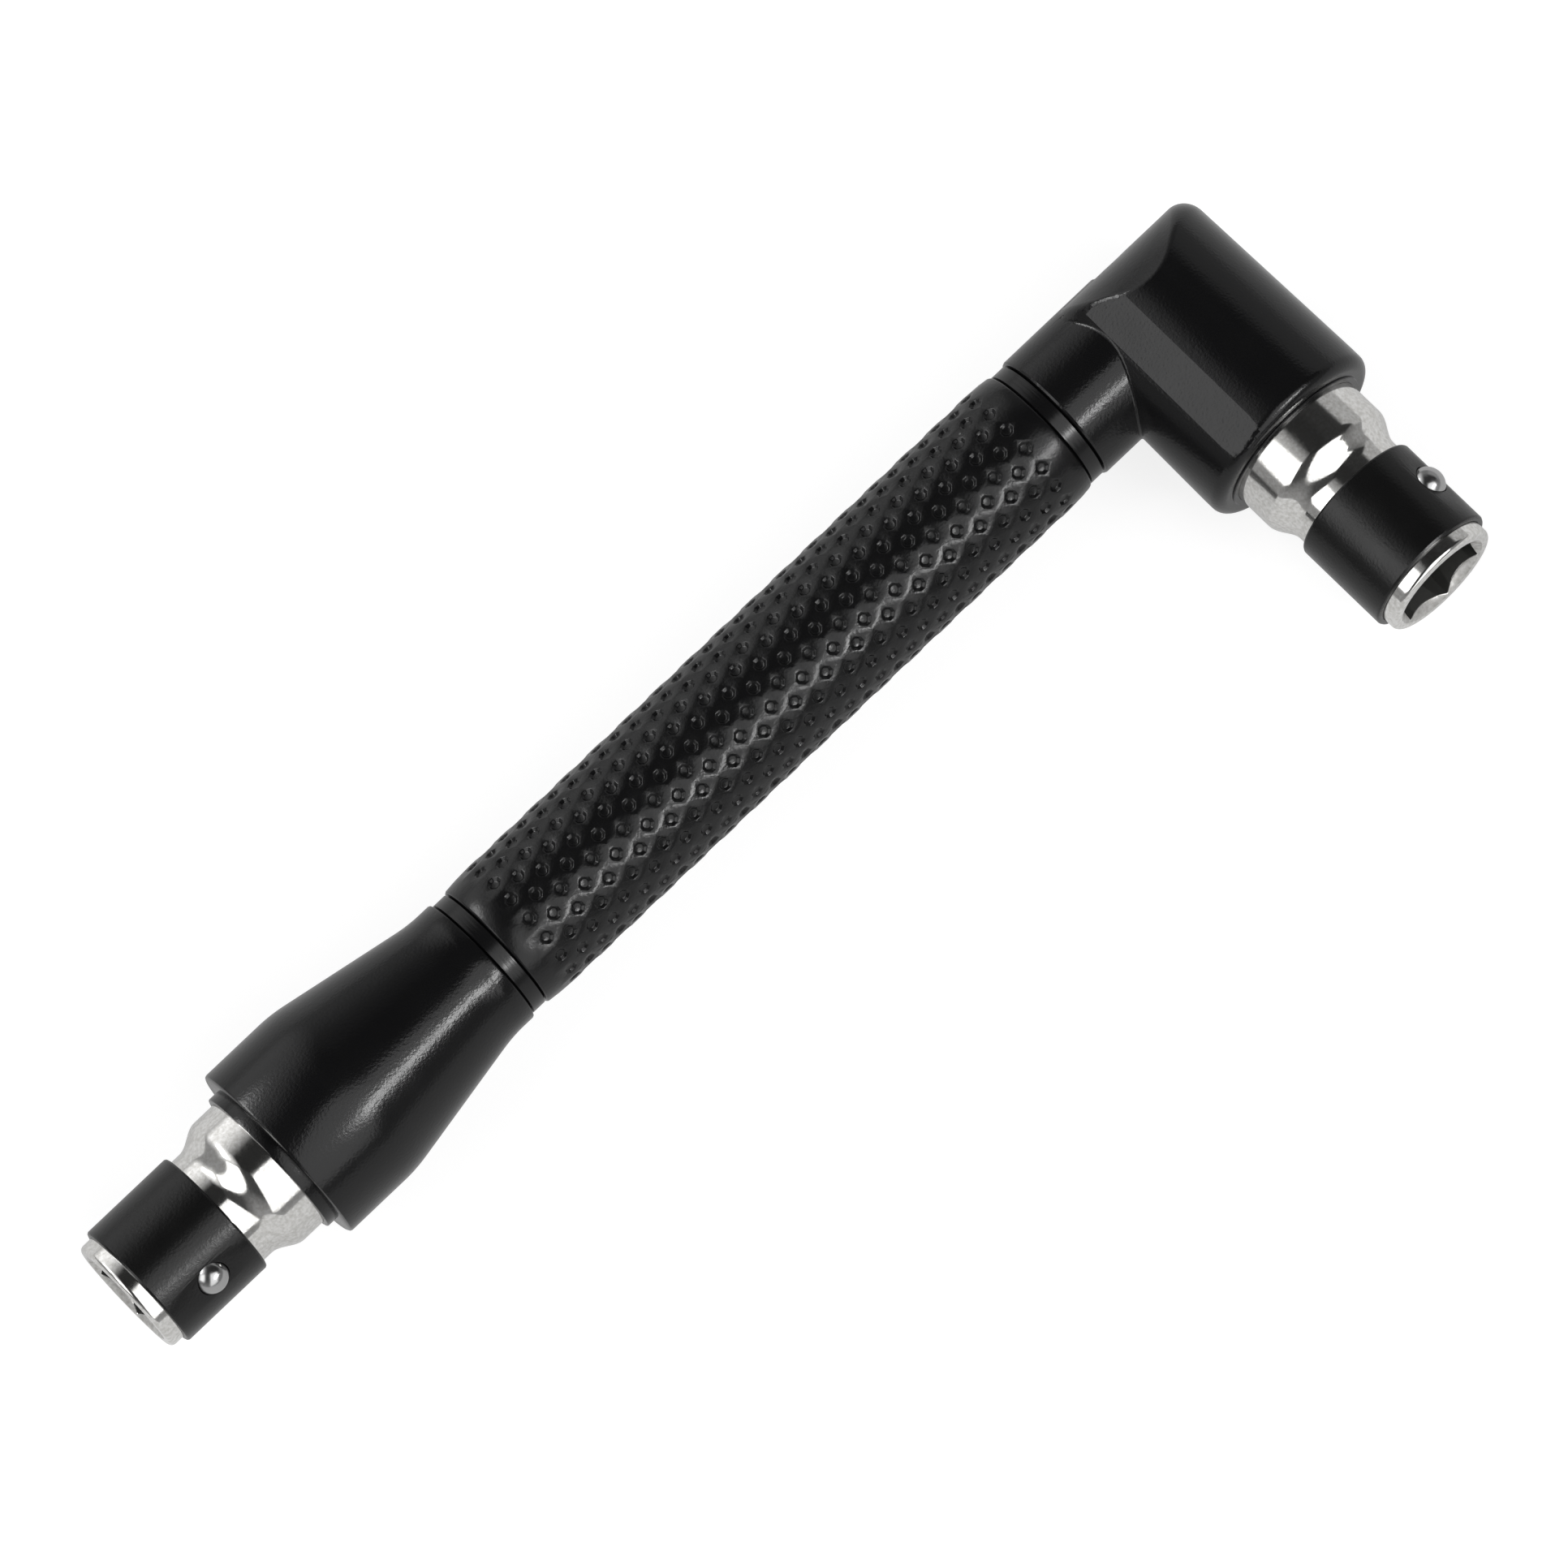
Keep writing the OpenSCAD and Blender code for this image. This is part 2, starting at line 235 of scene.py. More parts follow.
grip_outline = [(0, rod_hole_r)] + grip_edge + [(first_row - row_step, drawn_r)]
grip_outline += [(first_row + row_step * row, grip_r) for row in range(rows)]
grip_outline += [(first_row + row_step * rows, drawn_r)]
grip_outline += [(grip_len - step, radius) for step, radius in reversed(grip_edge)]
grip_outline += [(grip_len, rod_hole_r)]
grip = turn_on_lathe("grip_tube", grip_outline, columns, tube=True)
set_down(grip, (0, 0, lattice_turn), (0, 0, 0))


def on_pit(point):
    """Whether a point of the grip is at the middle of a pit of the lattice."""
    column = (math.degrees(math.atan2(point.y, point.x)) - lattice_turn) / (360 / columns)
    row = (point.z / mm - first_row) / row_step
    off = math.hypot(column - round(column), row - round(row))
    outside = math.hypot(point.x, point.y) / mm > grip_r - skin_depth
    staggered = (round(column) + round(row)) % 2 == 0
    return off < lattice_slack and outside and staggered and 0 <= round(row) < rows


def select_where(piece, mode, elements, test):
    """Selects the elements of a piece that pass a test, and leaves it in edit mode."""
    pick(piece)
    bpy.ops.object.mode_set(mode="EDIT")
    bpy.ops.mesh.select_mode(type=mode)
    bpy.ops.mesh.select_all(action="DESELECT")
    bpy.ops.object.mode_set(mode="OBJECT")
    for element in getattr(piece.data, elements):
        element.select = test(element)
    bpy.ops.object.mode_set(mode="EDIT")


def bevel_selected(width, affect, segments=1, material=-1):
    """Bevels what is selected by a width in mm, and leaves edit mode."""
    bpy.ops.mesh.bevel(offset_type="OFFSET", offset=width * mm, affect=affect, segments=segments,
                       material=material)
    bpy.ops.object.mode_set(mode="OBJECT")


def clean_up(piece, gap=sliver):
    """Merges what cuts have left closer than a gap in mm."""
    pick(piece)
    bpy.ops.object.mode_set(mode="EDIT")
    bpy.ops.mesh.select_mode(type="VERT")
    bpy.ops.mesh.select_all(action="SELECT")
    bpy.ops.mesh.remove_doubles(threshold=gap * mm)
    bpy.ops.mesh.dissolve_degenerate(threshold=sliver * mm)
    bpy.ops.mesh.delete_loose()
    bpy.ops.object.mode_set(mode="OBJECT")


def break_edges(piece, width, angle, segments):
    """Rounds the edges of a piece that are sharper than an angle."""
    clean_up(piece)
    modifier = piece.modifiers.new("edges", "BEVEL")
    modifier.width = width * mm
    modifier.segments = segments
    modifier.limit_method = "ANGLE"
    modifier.angle_limit = math.radians(angle)
    modifier.use_clamp_overlap = False
    bpy.ops.object.modifier_apply(modifier="edges")


select_where(grip, "VERT", "vertices", lambda vertex: on_pit(vertex.co))
bevel_selected(pit_r, "VERTICES")
select_where(grip, "FACE", "polygons", lambda face: on_pit(face.center))
bevel_selected(pit_corner, "VERTICES")
select_where(grip, "FACE", "polygons", lambda face: on_pit(face.center))
bpy.ops.transform.resize(value=(crown_share, crown_share, 1), center_override=(0, 0, 0))
bpy.ops.mesh.inset(thickness=pit_wall * mm, depth=-pit_depth * mm, use_individual=True)
bpy.ops.mesh.select_all(action="SELECT")
bpy.ops.mesh.normals_make_consistent(inside=False)
bpy.ops.object.mode_set(mode="OBJECT")
break_edges(grip, pit_rim, 30, 2)
set_down(grip, (0, -90, 0), (grip_x, handle_y, axis_z))
smooth(grip, 38)
grip_paint = black_finish("grip_paint", paint_black, 0.02, (0.18, 0.28))
hand_over(grip, "grip_sleeve", "handle", "black_grip", grip_paint)

# Elbow head
# A cast head: a fat barrel with an arched closed end and a long facet above and below, and a short
# collar on the handle. It is ground, painted satin black and screwed on the rod.

handle_paint = black_finish("handle_paint", paint_black, 0.06, (0.15, 0.22))
barrel_len, end_r, back_r, roof_h, roof_r = 12.85, 7.2, 6.9, 4.9, 7.8
land, front_r, roof_top, roof_step, side_round, crest_round_more = 11.15, 0.85, 5.0, 1, 0.7, 1.05
collar_r, collar_root, collar_reach, junction_r = 5.125, 1.9, 10.5, 0.14
collar_rings, collar_edge = (7.4, 7.6), [(0.2, 0), (0.05, 0.07), (0, 0.18)]
rim_r, rim_h, rim_edge, seat_r, seat_sink = 5.875, 0.12, 0.06, 5.445, 1.0
tang_hole_r, tang_hole_len, bore_start = 4.17, 8.35, 2.35
facet_angle, facet_depth, facet_end, draft = 29.5, 0.16, 0.2, 1.064
facet_block = (8, 34, 4)
roof_rings, round_steps, barrel_sides, collar_sides, bore_sides = 8, 16, 128, 96, 48
seam_gap, flat_enough, close_enough, across_share, end_zone = 0.04, 0.9995, 0.02, 0.7, 1


def rounded(before, corner, after, radius, steps):
    """Points of a rounding at an outline's corner, from the point before it to the point after it."""
    to_before = [before[i] - corner[i] for i in (0, 1)]
    to_after = [after[i] - corner[i] for i in (0, 1)]
    to_before = [value / math.hypot(*to_before) for value in to_before]
    to_after = [value / math.hypot(*to_after) for value in to_after]
    half = math.acos(sum(to_before[i] * to_after[i] for i in (0, 1))) / 2
    bisector = [to_before[i] + to_after[i] for i in (0, 1)]
    bisector = [value / math.hypot(*bisector) for value in bisector]
    middle = [corner[i] + bisector[i] * radius / math.sin(half) for i in (0, 1)]
    spoke = [corner[i] + to_before[i] * radius / math.tan(half) - middle[i] for i in (0, 1)]
    turn = math.copysign(math.pi - 2 * half, to_after[0] * to_before[1] - to_after[1] * to_before[0])
    points = []
    for step in range(steps + 1):
        angle = turn * step / steps
        points.append((middle[0] + spoke[0] * math.cos(angle) - spoke[1] * math.sin(angle),
                       middle[1] + spoke[0] * math.sin(angle) + spoke[1] * math.cos(angle)))
    return points


# The point that numbering goes by, off every plane of symmetry, so that each run numbers a cut alike.
bpy.context.scene.cursor.location = (0.31, 0.47, 0.59)


def work(piece, tool, operation):
    """Cuts a piece with a tool, or joins the tool to it, and numbers the result by distance."""
    modifier = piece.modifiers.new("work", "BOOLEAN")
    modifier.operation = operation
    modifier.object = tool
    modifier.solver = "EXACT"
    pick(piece)
    bpy.ops.object.modifier_apply(modifier="work")
    bpy.data.objects.remove(tool)
    bpy.ops.object.mode_set(mode="EDIT")
    bpy.ops.mesh.select_all(action="SELECT")
    bpy.ops.mesh.sort_elements(type="CURSOR_DISTANCE", elements={"VERT", "EDGE", "FACE"})
    bpy.ops.object.mode_set(mode="OBJECT")


def add_block(size, centre):
    """A block of a size in mm at a place."""
    bpy.ops.object.select_all(action="DESELECT")
    bpy.ops.mesh.primitive_cube_add(size=mm, location=(0, 0, 0))
    block = bpy.context.active_object
    block.scale = size
    set_down(block, (0, 0, 0), centre)
    return block


def barrel_outline(angle):
    """The barrel's (station, radius) pairs at an angle round it, from its arched end to its rim."""
    def crest(radius):
        return roof_r - roof_h - math.sqrt(roof_r ** 2 - (radius * math.sin(angle)) ** 2)
    corner_r = back_r + (end_r - back_r) * (crest(back_r) + roof_top) / (land + roof_top)
    corner = (crest(corner_r), corner_r)
    roof_round = side_round + crest_round_more * math.cos(angle) ** 2
    inner_r = corner_r - roof_step
    bend = rounded((crest(inner_r), inner_r), corner, (land, end_r), roof_round, round_steps)
    points = [(crest(bend[0][1] * ring / roof_rings), bend[0][1] * ring / roof_rings)
              for ring in range(1, roof_rings)]
    points += bend + [(land, end_r)]
    points += rounded((land, end_r), (barrel_len, end_r), (barrel_len, rim_r), front_r, round_steps)
    return points + [(barrel_len, rim_r), (barrel_len + rim_h / 2, rim_r),
                     (barrel_len + rim_h, rim_r - rim_edge)]


head = turn_on_lathe("head_casting", barrel_outline(0), barrel_sides)
for vertex in head.data.vertices:
    angle = math.atan2(vertex.co.y, vertex.co.x)
    station, radius = barrel_outline(angle)[vertex.index // barrel_sides]
    vertex.co = (radius * math.cos(angle) * mm, radius * math.sin(angle) * mm, station * mm)
set_down(head, (90, 0, 0), (barrel_x, handle_y, axis_z))
for facet_turn in (-facet_angle, 180 + facet_angle):
    facet = add_block(facet_block, (0, 0, facet_block[2] / 2))
    set_down(facet, (-draft, 0, 0), (0, -land, end_r - facet_depth))
    set_down(facet, (0, facet_turn, 0), (barrel_x, handle_y, axis_z))
    work(head, facet, "DIFFERENCE")
clean_up(head)


def surface_of(face):
    """Which surface of the head a face lies on: a facet, the collar, its fillet or the barrel."""
    if face.material_index == 1:
        return "fillet"
    lean = math.radians(facet_angle)
    across = -face.normal.x * math.sin(lean) + abs(face.normal.z) * math.cos(lean)
    if across * math.cos(math.radians(draft)) > flat_enough and face.area > mm ** 2:
        return "facet"
    off_axis = math.hypot(face.center.y / mm - handle_y, face.center.z / mm - axis_z)
    if abs(face.normal.x) < close_enough and abs(off_axis - collar_r) < close_enough:
        return "collar"
    return "barrel"


def surfaces_by_edge(piece):
    """The surfaces that meet at each edge of a piece."""
    found = {}
    for face in piece.data.polygons:
        for key in face.edge_keys:
            found.setdefault(key, set()).add(surface_of(face))
    return found


def runs_across(piece, edge):
    """Whether an edge of a piece runs across the barrel and not along it."""
    start, end = (piece.data.vertices[i].co for i in edge.vertices)
    return abs(end.y - start.y) < across_share * (end - start).length


collar_outline = [(station, collar_r) for station in (collar_root, *collar_rings)]
collar_outline += [(collar_reach - step, collar_r - inwards) for step, inwards in collar_edge]
collar = turn_on_lathe("collar", collar_outline, collar_sides)
set_down(collar, (0, -90, 0), (barrel_x, handle_y, axis_z))
work(head, collar, "UNION")
seat_outline = [(barrel_len - tang_hole_len, tang_hole_r), (barrel_len - seat_sink, tang_hole_r),
                (barrel_len - seat_sink, seat_r), (barrel_len + 2 * overrun, seat_r)]
seat = turn_on_lathe("seat", seat_outline, collar_sides)
set_down(seat, (90, 0, 0), (barrel_x, handle_y, axis_z))
work(head, seat, "DIFFERENCE")
bore_outline = [(bore_start, rod_hole_r), (collar_reach + overrun, rod_hole_r)]
bore = turn_on_lathe("bore", bore_outline, bore_sides)
set_down(bore, (0, -90, 0), (barrel_x, handle_y, axis_z))
work(head, bore, "DIFFERENCE")
clean_up(head, seam_gap)

# The ends of the facets are rounded, and then the corner between barrel and collar.
surfaces_at = surfaces_by_edge(head)
select_where(head, "EDGE", "edges", lambda edge: surfaces_at[edge.key] == {"facet", "barrel"}
             and runs_across(head, edge))
bevel_selected(facet_end, "EDGES", 3)
surfaces_at = surfaces_by_edge(head)
free_end_x = barrel_x - collar_reach + end_zone
near_barrel = {vertex.index for vertex in head.data.vertices if vertex.co.x / mm > free_end_x}
select_where(head, "EDGE", "edges", lambda edge: "collar" in surfaces_at[edge.key]
             and len(surfaces_at[edge.key]) > 1 and edge.vertices[0] in near_barrel)
bevel_selected(junction_r, "EDGES", 3, material=1)
clean_up(head)

# Points at which only two edges meet are dissolved, because triangles fold over there.
edges_at = [0] * len(head.data.vertices)
for edge in head.data.edges:
    for i in edge.vertices:
        edges_at[i] += 1
select_where(head, "VERT", "vertices", lambda vertex: edges_at[vertex.index] == 2)
bpy.ops.mesh.dissolve_verts()
bpy.ops.object.mode_set(mode="OBJECT")
surfaces_at = surfaces_by_edge(head)
for edge in head.data.edges:
    edge.use_edge_sharp = len(surfaces_at[edge.key]) > 1
head.data.polygons.foreach_set("material_index", [0] * len(head.data.polygons))
smooth(head, 30)
hand_over(head, "elbow_head", "handle", "black_paint", handle_paint)

# Tail ferrule
# A turned steel end piece that flares from the slim handle to a straight skirt round the socket.
# It is painted satin black, screwed on the rod and bored for the pressed socket.

ferrule_x, ferrule_len, throat_r = -19.2, 19.15, 5.175
flare_start, flare_end, flare_blend_r = 2.0, 13.0, 11.5
sink_more, tail_rim_h, ferrule_bore = 0.2, 0.85, 8.55
throat_edge = [(0, 5.01), (0.05, 5.12), (0.16, throat_r)]
skirt_edge = [(0.23, 0), (0.08, 0.05), (0, 0.2)]
tail_rim_edge = [(0.1, 0), (0.025, 0.025), (0, 0.1)]
flare_steps, ferrule_sides = 8, 128
throat, flare_foot, flare_top = throat_edge[-1], (flare_start, throat_r), (flare_end, end_r)
ferrule_outline = [(ferrule_bore, rod_hole_r), (0, rod_hole_r)] + throat_edge
ferrule_outline += rounded(throat, flare_foot, flare_top, flare_blend_r, flare_steps)
ferrule_outline += rounded(flare_foot, flare_top, (ferrule_len, end_r), flare_blend_r, flare_steps)
ferrule_outline += [(ferrule_len - step, end_r - inwards) for step, inwards in skirt_edge]
ferrule_seat, rim_end = ferrule_len - seat_sink - sink_more, ferrule_len + tail_rim_h
ferrule_outline += [(ferrule_len, rim_r)]
ferrule_outline += [(rim_end - step, rim_r - inwards) for step, inwards in tail_rim_edge]
ferrule_outline += [(rim_end, seat_r), (ferrule_seat, seat_r), (ferrule_seat, tang_hole_r),
                    (ferrule_len - sink_more - tang_hole_len, tang_hole_r)]
ferrule = turn_on_lathe("ferrule_turned", ferrule_outline, ferrule_sides)
set_down(ferrule, (0, -90, 0), (ferrule_x, handle_y, axis_z))
smooth(ferrule, 30)
hand_over(ferrule, "tail_ferrule", "handle", "black_paint", handle_paint)

# Bit sockets
# Two chromed steel sockets, turned with a curved rise behind the nose, cut with a hex hole by broaching and
# drilled for the ball. Their tangs are pressed into the head and the ferrule. The inside of the hex hole is
# coloured near-black as painted shade.

chrome, tree, shader, place = start_finish("bright_chrome", (0.68, 0.675, 0.66), 0.1, 1)
haze = add_noise(tree, place, 3600, 6)
tree.links.new(spread(tree, haze, 0.06, 0.16), shader.inputs["Roughness"])
blend_colours(tree, shader, spread(tree, haze, 0, 1, 0.35, 0.65), (0.86, 0.855, 0.84), (0.66, 0.65, 0.625))
add_bump(tree, shader, add_noise(tree, place, 3200, 3), 0.0000016)

# Near-black, matt and not metallic: painted shade for the inside of the hex hole, where the steel is barely
# lit. The broaching strokes only vary its roughness and bump.
painted_hole_shade, tree, shader, place = start_finish("hole_painted_shade", (0.02, 0.02, 0.018), 0.6, 0)
strokes = add_noise(tree, place, 1800, 3)
tree.links.new(spread(tree, strokes, 0.45, 0.7), shader.inputs["Roughness"])
add_bump(tree, shader, strokes, 0.000008)

ground, tree, shader, place = start_finish("ground_mouth", (0.6, 0.595, 0.58), 0.4, 1)
wheel = add_noise(tree, place, 2600, 3)
tree.links.new(spread(tree, wheel, 0.3, 0.5), shader.inputs["Roughness"])
blend_colours(tree, shader, spread(tree, wheel, 0, 1), (0.72, 0.715, 0.7), (0.45, 0.44, 0.42))
add_bump(tree, shader, wheel, 0.00001)

nose_r, shoulder_r, tang_r = 4.55, 5.425, 4.15
rise_start, rise_len, reach, lip_round = 2.8, 2.25, 14.35, 0.38
hex_corner_r, hex_depth, mouth_r, mouth_depth = 3.695, 12.5, 3.8, 3.5
ball_r, ball_rest_r, ball_station, ball_hole_r = 1.3, 4.395, 9.35, 1.35
ball_place = (ball_rest_r, 0, ball_station)
ball_seat, drill_out = [(-1.367, 0.5), (-0.517, ball_hole_r)], 2.5
mouth_zone, hole_zone, cone_low, cone_high, wall_lean = 1, 2, 0.5, 0.9, 0.3
tang_tip, nose_rings, rise_steps, lip_steps = [(-8.0, 3.75), (-7.6, tang_r)], (6.7, 12.5), 24, 10
socket_sides, cone_sides, drill_sides, socket_edge = 320, 128, 64, 0.03
socket_outline = tang_tip + [(-seat_sink, tang_r), (-seat_sink, shoulder_r), (0, shoulder_r)]
for step in range(rise_steps + 1):
    share = step / rise_steps
    socket_outline.append((rise_start + rise_len * share,
                           nose_r + (shoulder_r - nose_r) * (1 + math.cos(math.pi * share)) / 2))
socket_outline += [(station, nose_r) for station in nose_rings]
socket_outline += rounded(socket_outline[-1], (reach, nose_r), (reach, 0), lip_round, lip_steps)


def make_socket(name):
    """A socket along +Z from the head's face, with the corner that takes the ball towards +X."""
    piece = turn_on_lathe(name, socket_outline, socket_sides)
    hexagon_outline = [(reach - hex_depth, hex_corner_r), (reach + overrun, hex_corner_r)]
    hexagon = turn_on_lathe("hexagon", hexagon_outline, 6)
    set_down(hexagon, (0, 0, 90), (0, 0, 0))
    work(piece, hexagon, "DIFFERENCE")
    cone = turn_on_lathe("cone", [(reach - mouth_depth, mouth_r - mouth_depth),
                                  (reach + overrun / 2, mouth_r + overrun / 2)], cone_sides)
    work(piece, cone, "DIFFERENCE")
    drill = turn_on_lathe("drill", ball_seat + [(drill_out, ball_hole_r)], drill_sides)
    set_down(drill, (0, 90, 0), ball_place)
    work(piece, drill, "DIFFERENCE")
    break_edges(piece, socket_edge, 35, 1)
    # Finish 2 is the ground mouth. Finish 1, the painted shade, goes on the hex hole's walls and its deep
    # end.
    for face in piece.data.polygons:
        radius = math.hypot(face.center.x, face.center.y) / mm
        station, lean = face.center.z / mm, face.normal.z
        if radius < mouth_r and station > reach - mouth_zone and cone_low < lean < cone_high:
            face.material_index = 2
        elif radius < hex_corner_r and (station < reach - hole_zone or abs(lean) < wall_lean):
            face.material_index = 1
    return piece


socket_clock = {"elbow": 35, "tail": -55}
socket_turn = {"elbow": (90, 0, 0), "tail": (0, -90, 0)}
socket_place = {"elbow": (barrel_x, handle_y - barrel_len, axis_z),
                "tail": (ferrule_x - ferrule_len + sink_more, handle_y, axis_z)}


def put_on(piece, end):
    """Turns a piece of a socket to its clock angle and puts it on an end of the tool."""
    set_down(piece, (0, 0, socket_clock[end]), (0, 0, 0))
    set_down(piece, socket_turn[end], socket_place[end])


for name, node, end in (("elbow_bit_socket", "elbow_socket", "elbow"),
                        ("tail_bit_socket", "tail_socket", "tail")):
    socket = make_socket(name)
    put_on(socket, end)
    smooth(socket, 24)
    finishes = [face.material_index for face in socket.data.polygons]
    hand_over(socket, node, "handle", "bright_chrome", chrome, painted_hole_shade, ground)
    socket.data.polygons.foreach_set("material_index", finishes)

# Detent balls
# Two ground steel balls, one in each socket. Each rests on a conical seat, stands into a corner of
# the hex hole and out through the sleeve's window, and moves outwards when a bit passes.

ball_chrome, tree, shader, place = start_finish("ball_chrome", (0.45, 0.45, 0.45), 0.2, 1)
tree.links.new(spread(tree, add_noise(tree, place, 1500, 3), 0.16, 0.26), shader.inputs["Roughness"])
ball_steps, ball_sides = 40, 64
half_circle = [(-ball_r * math.cos(math.pi * step / ball_steps),
                ball_r * math.sin(math.pi * step / ball_steps)) for step in range(1, ball_steps)]
for name, node, end in (("elbow_detent_ball", "elbow_ball", "elbow"),
                        ("tail_detent_ball", "tail_ball", "tail")):
    ball = turn_on_lathe(name, half_circle, ball_sides)
    set_down(ball, (0, 90, 0), ball_place)
    put_on(ball, end)
    smooth(ball, 30)
    hand_over(ball, node, node, "ball_steel", ball_chrome)

# Spring sleeves
# Two thin split sleeves of blackened spring steel, snapped over the sockets' noses. Each has a round
# window that presses the ball in, and a slot on the other side that lets it open.

sleeve_black = black_finish("sleeve_black", (0.005, 0.005, 0.005), 0.015, (0.22, 0.3))
sleeve_start, sleeve_len, sleeve_r, sleeve_hole_r = 5.85, 7.4, 5.0, 4.57
sleeve_edge, sleeve_sides, cut_edge = [(0, 0.2), (0.05, 0.07), (0.17, 0)], 128, 0.035
window_r, punch_out, slot_w, saw_depth, saw_out = 1.22, 3, 0.8, 3.3, 0.4
pocket_share, bend_share = 1.015, 1.2
sleeve_outline = ring_outline(sleeve_len, sleeve_hole_r, sleeve_r, sleeve_edge)
for name, node, body, end in (("elbow_sleeve", "elbow_spring_sleeve", "elbow_ball", "elbow"),
                              ("tail_sleeve", "tail_spring_sleeve", "tail_ball", "tail")):
    sleeve = turn_on_lathe(name, sleeve_outline, sleeve_sides, tube=True)
    set_down(sleeve, (0, 0, 0), (0, 0, sleeve_start))
    punch = turn_on_lathe("punch", [(0, window_r), (punch_out, window_r)], drill_sides)
    set_down(punch, (0, 90, 0), ball_place)
    work(sleeve, punch, "DIFFERENCE")
    pocket_outline = [(station * pocket_share, radius * pocket_share) for station, radius in half_circle]
    pocket = turn_on_lathe("pocket", pocket_outline, ball_sides)
    set_down(pocket, (0, 90, 0), ball_place)
    work(sleeve, pocket, "DIFFERENCE")
    saw = add_block((saw_depth, slot_w, sleeve_len + 2 * overrun),
                    (-nose_r - saw_out, 0, sleeve_start + sleeve_len / 2))
    work(sleeve, saw, "DIFFERENCE")
    break_edges(sleeve, cut_edge, 40, 2)
    put_on(sleeve, end)
    smooth(sleeve, 30)
    sleeve.data.materials.clear()
    sleeve.data.materials.append(sleeve_black)
    ball_low, ball_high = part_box(body)
    ball_middle = (ball_low + ball_high) / 2
    axis = ball_middle.copy()
    if end == "elbow":
        axis.x, axis.z = barrel_x * mm, axis_z * mm
    else:
        axis.y, axis.z = handle_y * mm, axis_z * mm
    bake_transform(sleeve)
    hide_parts(node)

# Studio
# A white floor that keeps a faint shadow, a bright panel on each side of a long lens over the tool,
# a dark room between and above the panels, and pale walls elsewhere.

camera_lean, camera_side, camera_roll = 15.46, -7.173, -43.5
camera_aim, camera_reach = (3.669, 3.955, 8.787), 917.25
lens_mm, sensor_mm, view_end = 310.9, 36, 20
floor_size, floor_z, floor_white, floor_mirrored, floor_grey = 6, -0.00005, 0.8, 0.35, (0.35, 0.35, 0.35, 1)
bpy.ops.object.camera_add(location=(0, 0, 0))
camera = bpy.context.active_object
camera.rotation_mode = "ZYX"
camera.rotation_euler = [math.radians(angle) for angle in (camera_lean, camera_side, camera_roll)]
bpy.context.view_layer.update()
right, up, back = (camera.matrix_world.to_3x3().col[i].normalized() for i in (0, 1, 2))
camera.location = [(camera_aim[i] + back[i] * camera_reach) * mm for i in (0, 1, 2)]
camera.data.lens = lens_mm
camera.data.sensor_width = sensor_mm
camera.data.clip_end = view_end
bpy.context.scene.camera = camera

bpy.ops.object.select_all(action="DESELECT")
bpy.ops.mesh.primitive_plane_add(size=floor_size, location=(0, 0, floor_z))
floor = bpy.context.active_object
floor.name = "floor"
white = bpy.data.materials.new("white_floor")
white.use_nodes = True
tree = white.node_tree
tree.nodes.clear()


def calculate(operation, *values):
    """A sum in the node tree at hand, from numbers and sockets."""
    node = tree.nodes.new("ShaderNodeMath")
    node.operation = operation
    for i, value in enumerate(values):
        if isinstance(value, (int, float)):
            node.inputs[i].default_value = value
        else:
            tree.links.new(value, node.inputs[i])
    return node.outputs["Value"]


path = tree.nodes.new("ShaderNodeLightPath").outputs
straight = calculate("MAXIMUM", path["Is Camera Ray"], path["Is Transmission Ray"])
seen = calculate("MULTIPLY", straight, floor_white)
mirrored = calculate("MULTIPLY", path["Is Glossy Ray"], floor_mirrored)
glow = tree.nodes.new("ShaderNodeEmission")
tree.links.new(calculate("MAXIMUM", seen, mirrored), glow.inputs["Strength"])
matt = tree.nodes.new("ShaderNodeBsdfDiffuse")
matt.inputs["Color"].default_value = floor_grey
both = tree.nodes.new("ShaderNodeAddShader")
tree.links.new(glow.outputs["Emission"], both.inputs[0])
tree.links.new(matt.outputs["BSDF"], both.inputs[1])
floor_output = tree.nodes.new("ShaderNodeOutputMaterial")
tree.links.new(both.outputs["Shader"], floor_output.inputs["Surface"])
floor.data.materials.append(white)

world = bpy.data.worlds.new("studio")
bpy.context.scene.world = world
world.use_nodes = True
tree = world.node_tree
tree.nodes.clear()
direction = tree.nodes.new("ShaderNodeTexCoord").outputs["Generated"]


def along(axis):
    """How far a direction of the room points along an axis."""
    dot = tree.nodes.new("ShaderNodeVectorMath")
    dot.operation = "DOT_PRODUCT"
    dot.inputs[1].default_value = axis
    tree.links.new(direction, dot.inputs[0])
    return dot.outputs["Value"]


def between(angle, stops):
    """A share by an angle in degrees, straight from stop to stop."""
    ramp = tree.nodes.new("ShaderNodeFloatCurve")
    curve = ramp.mapping.curves[0]
    points = [((stop + 180) / 360, share) for stop, share in stops]
    curve.points[0].location, curve.points[1].location = points[0], points[-1]
    for point in points[1:-1]:
        curve.points.new(*point)
    for point in curve.points:
        point.handle_type = "VECTOR"
    ramp.mapping.update()
    tree.links.new(calculate("DIVIDE", calculate("ADD", angle, 180), 360), ramp.inputs["Value"])
    return ramp.outputs["Value"]


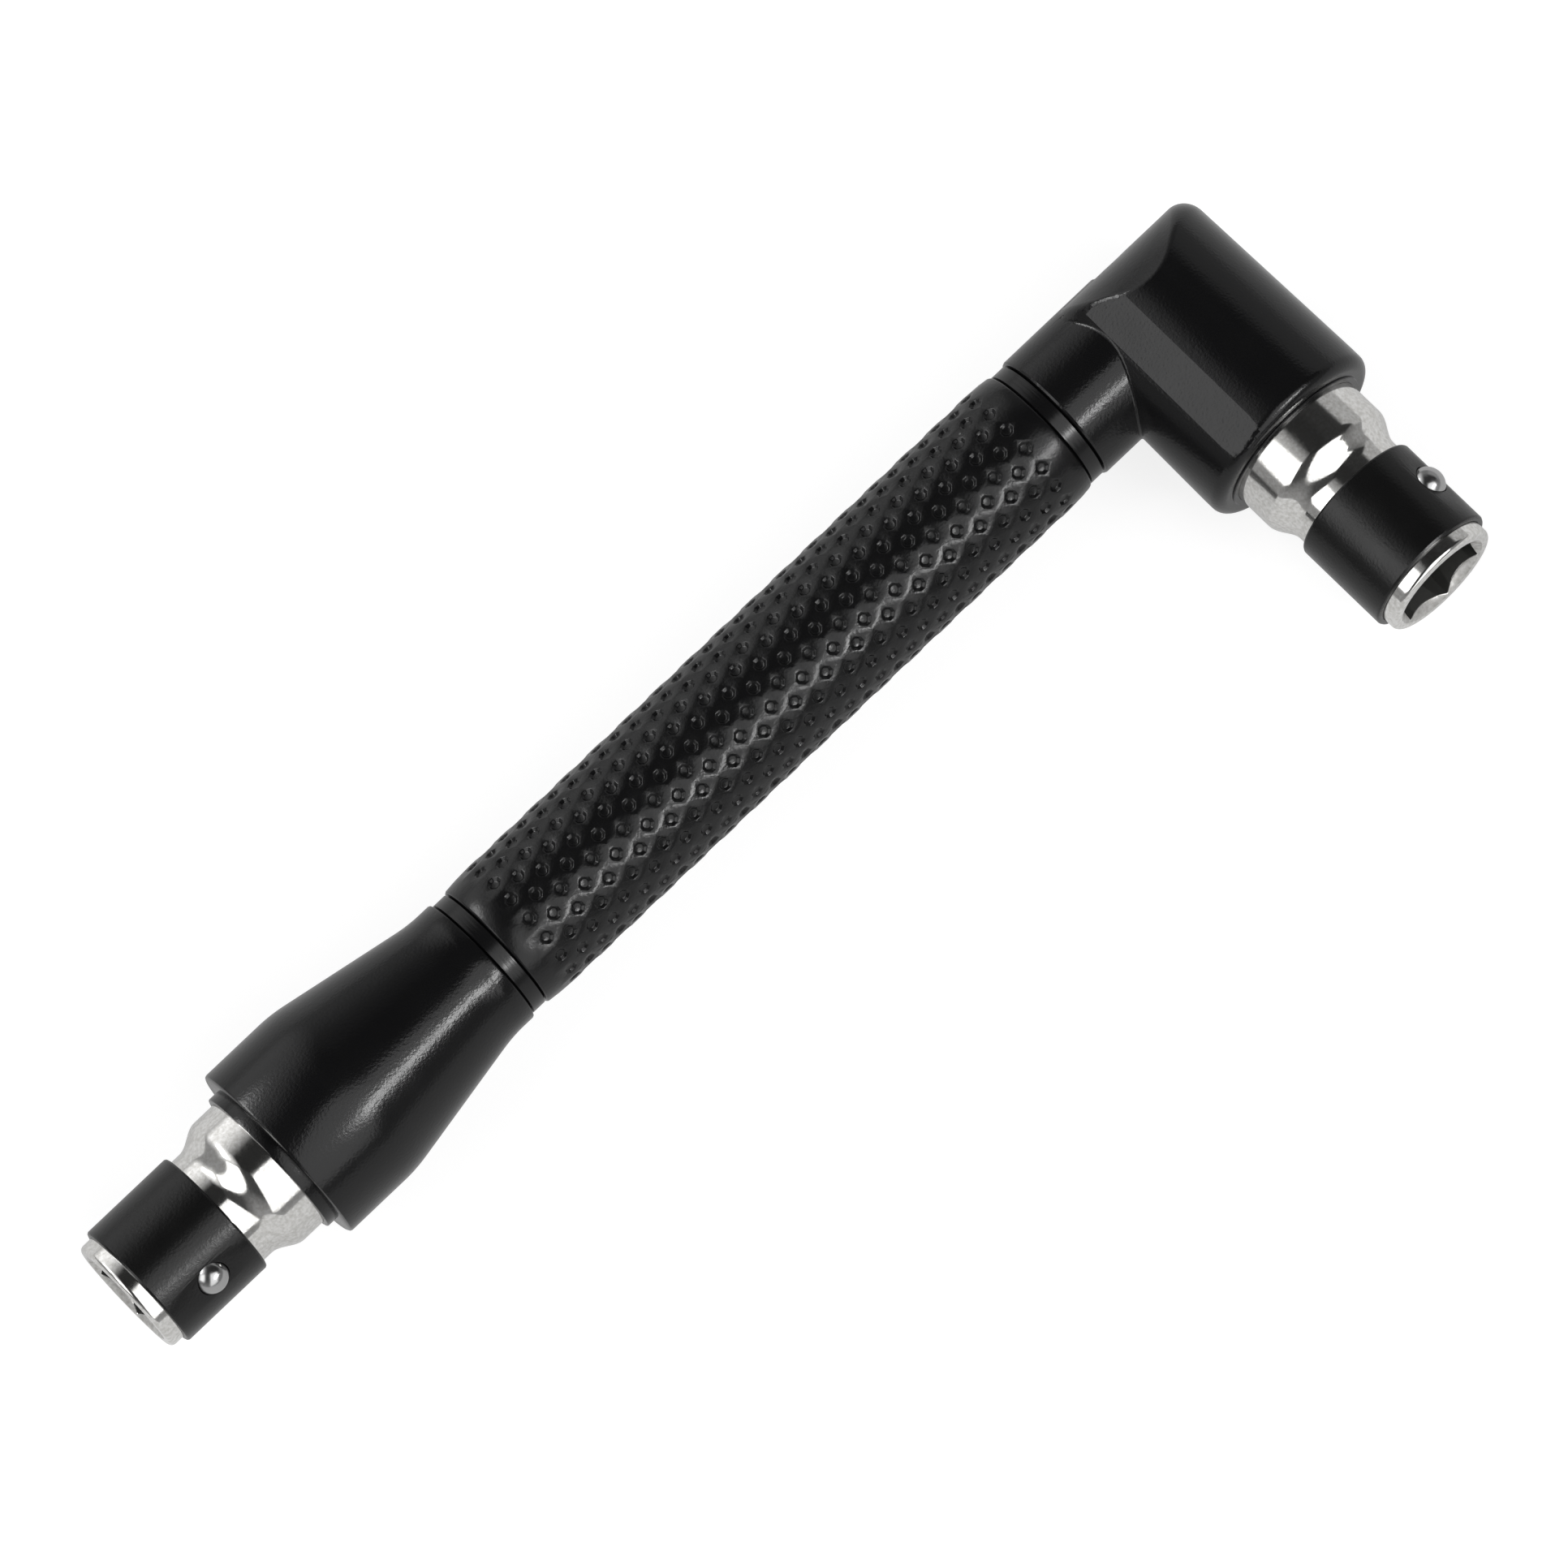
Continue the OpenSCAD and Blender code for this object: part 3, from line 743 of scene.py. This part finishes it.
panel_slant, lamp_lean = 0.5, 0.6
tilt = calculate("DEGREES", calculate("ARCTAN2", along(up), along(back)))
side = calculate("DEGREES", calculate("ARCSINE", along(right)))
slanted = calculate("SUBTRACT", tilt, calculate("MULTIPLY", side, panel_slant))
leaning = calculate("SUBTRACT", side, calculate("MULTIPLY", tilt, lamp_lean))


def panel(sides, tilts, edge, across=side, height=tilt):
    """A panel of the room by its angles to the lens, with a soft edge: 1 on it, 0 off it."""
    shares = []
    for angle, (low, high) in ((across, sides), (height, tilts)):
        shares.append(between(angle, [(-180, 0), (low - edge, 0), (low + edge, 1), (high - edge, 1),
                                      (high + edge, 0), (180, 0)]))
    return calculate("MULTIPLY", *shares)


def hang(room, mask, brightness):
    """The room with a panel of a brightness in front of it."""
    return calculate("ADD", calculate("MULTIPLY", room, calculate("SUBTRACT", 1, mask)),
                     calculate("MULTIPLY", mask, brightness))


pale_wall, dark_room, left_panel, low_left_panel, right_panel = 0.36, 0.03, 1.45, 2.9, 2
dark_cloth, grey_wall, main_light, side_light = 0.04, 0.54, 28, 12
dark_across = between(side, [(-180, 0), (-62, 0), (-32, 1), (36, 1), (70, 0), (180, 0)])
dark_upright = between(tilt, [(-180, 0), (-66, 0), (-40, 0.85), (5, 0.9), (14, 1), (48, 1), (80, 0),
                              (180, 0)])
room = hang(pale_wall, calculate("MULTIPLY", dark_across, dark_upright), dark_room)
room = hang(room, panel((-64, -30), (8, 105), 10), left_panel)
room = hang(room, panel((-58, -30), (-46, 5), 1), low_left_panel)
room = hang(room, panel((4, 46), (-72, 6), 1, height=slanted), right_panel)
room = hang(room, panel((2, 50), (30, 69), 3), dark_cloth)
room = hang(room, panel((6, 60), (69, 140), 2), grey_wall)
main_lamp = calculate("MULTIPLY", panel((40.6, 47.7), (-19, 9), 2, across=leaning), main_light)
side_lamp = calculate("MULTIPLY", panel((-57, -47), (20, 62), 4), side_light)
lamps = calculate("ADD", main_lamp, side_lamp)
sky = tree.nodes.new("ShaderNodeBackground")
tree.links.new(calculate("ADD", room, lamps), sky.inputs["Strength"])
room_output = tree.nodes.new("ShaderNodeOutputWorld")
tree.links.new(sky.outputs["Background"], room_output.inputs["Surface"])
bpy.context.scene.view_settings.view_transform = "Standard"
